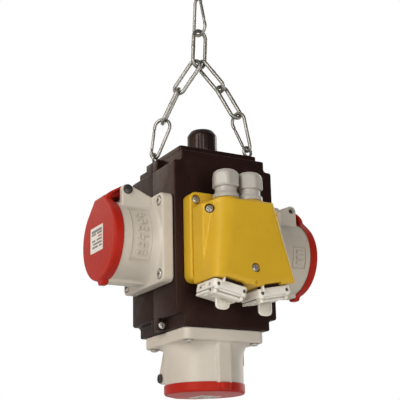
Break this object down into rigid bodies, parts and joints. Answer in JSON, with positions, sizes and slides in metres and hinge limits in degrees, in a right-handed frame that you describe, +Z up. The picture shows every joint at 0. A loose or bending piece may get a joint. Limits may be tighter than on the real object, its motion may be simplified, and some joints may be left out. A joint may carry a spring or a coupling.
{
  "type": "hanging power distribution box",
  "caption": "Hanging power distribution box: upright moulded housing with flanged lidded sockets on its sides and base, a hooded data outlet module, cable glands and a chain sling.",
  "frame": {"origin": "centre of the flat rear face of the housing", "axes": "+Z up along the housing, +Y out of the rear face, so the front of the object looks along -Y"},
  "size_m": [0.2222, 0.1507, 0.4152],
  "materials": {
    "housing_plastic": "fine-textured dark brown-black moulded plastic",
    "gland_black": "satin black moulded plastic",
    "seal_rubber": "matt",
    "zinc_steel": "zinc-plated wire",
    "screw_steel": "plated",
    "socket_grey": "light warm grey moulded plastic",
    "insert_dark": "matt",
    "lid_red": "satin red moulded plastic",
    "gland_grey": "satin light grey moulded plastic",
    "outlet_white": "satin off-white moulded plastic",
    "module_yellow": "satin ochre-yellow moulded plastic",
    "terminal_grey": "matt"
  },
  "bodies": {
    "housing": {"cover_screw_left": "screw_steel", "cover_screw_lower": "screw_steel", "cover_screw_right": "screw_steel", "eye_bolt_left": "zinc_steel", "eye_bolt_right": "zinc_steel", "front_shell": "housing_plastic", "inlet_gland_body": "gland_black", "inlet_gland_seal": "seal_rubber", "left_gland_body": "gland_grey", "left_outlet_frame": "outlet_white", "left_socket_housing": "socket_grey", "left_socket_insert": "insert_dark", "left_socket_pin": "screw_steel", "left_socket_screw_a1": "screw_steel", "left_socket_screw_a2": "screw_steel", "left_socket_screw_b1": "screw_steel", "left_socket_screw_b2": "screw_steel", "lower_socket_housing": "socket_grey", "lower_socket_insert": "insert_dark", "lower_socket_pin": "screw_steel", "lower_socket_screw_a1": "screw_steel", "lower_socket_screw_a2": "screw_steel", "lower_socket_screw_b1": "screw_steel", "lower_socket_screw_b2": "screw_steel", "lug_screw_left": "screw_steel", "lug_screw_right": "screw_steel", "module_flange": "module_yellow", "module_hood": "module_yellow", "rear_shell": "housing_plastic", "right_gland_body": "gland_grey", "right_outlet_frame": "outlet_white", "right_socket_housing": "socket_grey", "right_socket_insert": "insert_dark", "right_socket_pin": "screw_steel", "right_socket_screw_a1": "screw_steel", "right_socket_screw_a2": "screw_steel", "right_socket_screw_b1": "screw_steel", "right_socket_screw_b2": "screw_steel", "terminal_block": "terminal_grey", "top_plate": "housing_plastic"},
    "left_carabiner": {"left_carabiner": "zinc_steel"},
    "right_carabiner": {"right_carabiner": "zinc_steel"},
    "left_link_2": {"left_link_2": "zinc_steel"},
    "right_link_2": {"right_link_2": "zinc_steel"},
    "left_link_1": {"left_link_1": "zinc_steel"},
    "right_link_1": {"right_link_1": "zinc_steel"},
    "top_link": {"top_link": "zinc_steel"},
    "top_carabiner": {"top_carabiner": "zinc_steel"},
    "left_carabiner_gate": {"left_carabiner_gate": "zinc_steel"},
    "right_carabiner_gate": {"right_carabiner_gate": "zinc_steel"},
    "top_carabiner_gate": {"top_carabiner_gate": "zinc_steel"},
    "left_socket_lid": {"left_socket_lid": "lid_red"},
    "right_socket_lid": {"right_socket_lid": "lid_red"},
    "lower_socket_lid": {"lower_socket_lid": "lid_red"},
    "left_outlet_flap": {"left_outlet_flap": "outlet_white"},
    "right_outlet_flap": {"right_outlet_flap": "outlet_white"},
    "inlet_gland_nut": {"inlet_gland_nut": "gland_black"},
    "left_gland_nut": {"left_gland_nut": "gland_grey"},
    "right_gland_nut": {"right_gland_nut": "gland_grey"}
  },
  "joints": [
    {"name": "left_carabiner_swing", "type": "hinge", "parent": "housing", "child": "left_carabiner", "pos_m": [-0.036, -0.016, 0.1033], "axis": [0.7471, -0.6647, 0], "range_deg": [-2, 2], "stiffness_Nm_per_rad": 0.8},
    {"name": "right_carabiner_swing", "type": "hinge", "parent": "housing", "child": "right_carabiner", "pos_m": [0.038, -0.075, 0.1033], "axis": [0.7471, -0.6647, 0], "range_deg": [-2, 2], "stiffness_Nm_per_rad": 0.8},
    {"name": "left_link_2_swing", "type": "hinge", "parent": "left_carabiner", "child": "left_link_2", "pos_m": [-0.02977, -0.02154, 0.13589], "axis": [0.7471, -0.6647, 0], "range_deg": [-1.5, 1.5], "stiffness_Nm_per_rad": 0.4},
    {"name": "right_link_2_swing", "type": "hinge", "parent": "right_carabiner", "child": "right_link_2", "pos_m": [0.03177, -0.06946, 0.13589], "axis": [0.7471, -0.6647, 0], "range_deg": [-1.5, 1.5], "stiffness_Nm_per_rad": 0.4},
    {"name": "left_link_1_swing", "type": "hinge", "parent": "left_link_2", "child": "left_link_1", "pos_m": [-0.0163, -0.03353, 0.1716], "axis": [0.7471, -0.6647, 0], "range_deg": [-1, 1], "stiffness_Nm_per_rad": 0.4},
    {"name": "right_link_1_swing", "type": "hinge", "parent": "right_link_2", "child": "right_link_1", "pos_m": [0.0183, -0.05747, 0.1716], "axis": [0.7471, -0.6647, 0], "range_deg": [-1, 1], "stiffness_Nm_per_rad": 0.4},
    {"name": "top_link_swing", "type": "hinge", "parent": "left_link_1", "child": "top_link", "pos_m": [0.001, -0.0455, 0.1965], "axis": [0.7471, -0.6647, 0], "range_deg": [-1.5, 1.5], "stiffness_Nm_per_rad": 0.4},
    {"name": "top_carabiner_swing", "type": "hinge", "parent": "top_link", "child": "top_carabiner", "pos_m": [0.00229, -0.04665, 0.23535], "axis": [0.7471, -0.6647, 0], "range_deg": [-10, 10], "stiffness_Nm_per_rad": 0.3},
    {"name": "left_carabiner_gate_open", "type": "hinge", "parent": "left_carabiner", "child": "left_carabiner_gate", "pos_m": [-0.03819, -0.01312, 0.10766], "axis": [0.7648, 0.643, -0.0407], "range_deg": [0, 18], "stiffness_Nm_per_rad": 0.005, "springref_deg": -57.3},
    {"name": "right_carabiner_gate_open", "type": "hinge", "parent": "right_carabiner", "child": "right_carabiner_gate", "pos_m": [0.03638, -0.06998, 0.10536], "axis": [0.9568, 0.2451, 0.1561], "range_deg": [0, 18], "stiffness_Nm_per_rad": 0.005, "springref_deg": -57.3},
    {"name": "top_carabiner_gate_open", "type": "hinge", "parent": "top_carabiner", "child": "top_carabiner_gate", "pos_m": [0.00237, -0.0503, 0.26582], "axis": [0.9726, 0.2311, 0.025], "range_deg": [0, 18], "stiffness_Nm_per_rad": 0.005, "springref_deg": -57.3},
    {"name": "left_socket_lid_open", "type": "hinge", "parent": "housing", "child": "left_socket_lid", "pos_m": [-0.0915, -0.0468, 0.0445], "axis": [0, 1, 0], "range_deg": [0, 110], "stiffness_Nm_per_rad": 0.02, "springref_deg": -85.94},
    {"name": "right_socket_lid_open", "type": "hinge", "parent": "housing", "child": "right_socket_lid", "pos_m": [0.0915, -0.0468, 0.0445], "axis": [0, -1, 0], "range_deg": [0, 110], "stiffness_Nm_per_rad": 0.02, "springref_deg": -85.94},
    {"name": "lower_socket_lid_open", "type": "hinge", "parent": "housing", "child": "lower_socket_lid", "pos_m": [-0.0015, -0.0015, -0.1215], "axis": [1, 0, 0], "range_deg": [0, 110], "stiffness_Nm_per_rad": 0.04, "springref_deg": -85.94},
    {"name": "left_outlet_flap_open", "type": "hinge", "parent": "housing", "child": "left_outlet_flap", "pos_m": [-0.02589, -0.1352, -0.06286], "axis": [-0.9799, 0, 0.1994], "range_deg": [0, 100], "stiffness_Nm_per_rad": 0.002, "springref_deg": -57.3},
    {"name": "right_outlet_flap_open", "type": "hinge", "parent": "housing", "child": "right_outlet_flap", "pos_m": [0.02149, -0.1352, -0.06286], "axis": [-0.9799, 0, -0.1994], "range_deg": [0, 100], "stiffness_Nm_per_rad": 0.002, "springref_deg": -57.3},
    {"name": "inlet_gland_nut_turn", "type": "hinge", "parent": "housing", "child": "inlet_gland_nut", "pos_m": [0, -0.0505, 0.105], "axis": [0, 0, 1], "continuous": true},
    {"name": "left_gland_nut_turn", "type": "hinge", "parent": "housing", "child": "left_gland_nut", "pos_m": [-0.0149, -0.12, 0.05], "axis": [0, 0, 1], "continuous": true},
    {"name": "right_gland_nut_turn", "type": "hinge", "parent": "housing", "child": "right_gland_nut", "pos_m": [0.0105, -0.12, 0.05], "axis": [0, 0, 1], "continuous": true}
  ],
  "couplings": [
    {"joint": "right_carabiner_swing", "follows": "left_carabiner_swing", "ratio": 1},
    {"joint": "right_link_2_swing", "follows": "left_link_2_swing", "ratio": 1},
    {"joint": "right_link_1_swing", "follows": "left_link_1_swing", "ratio": 1}
  ]
}
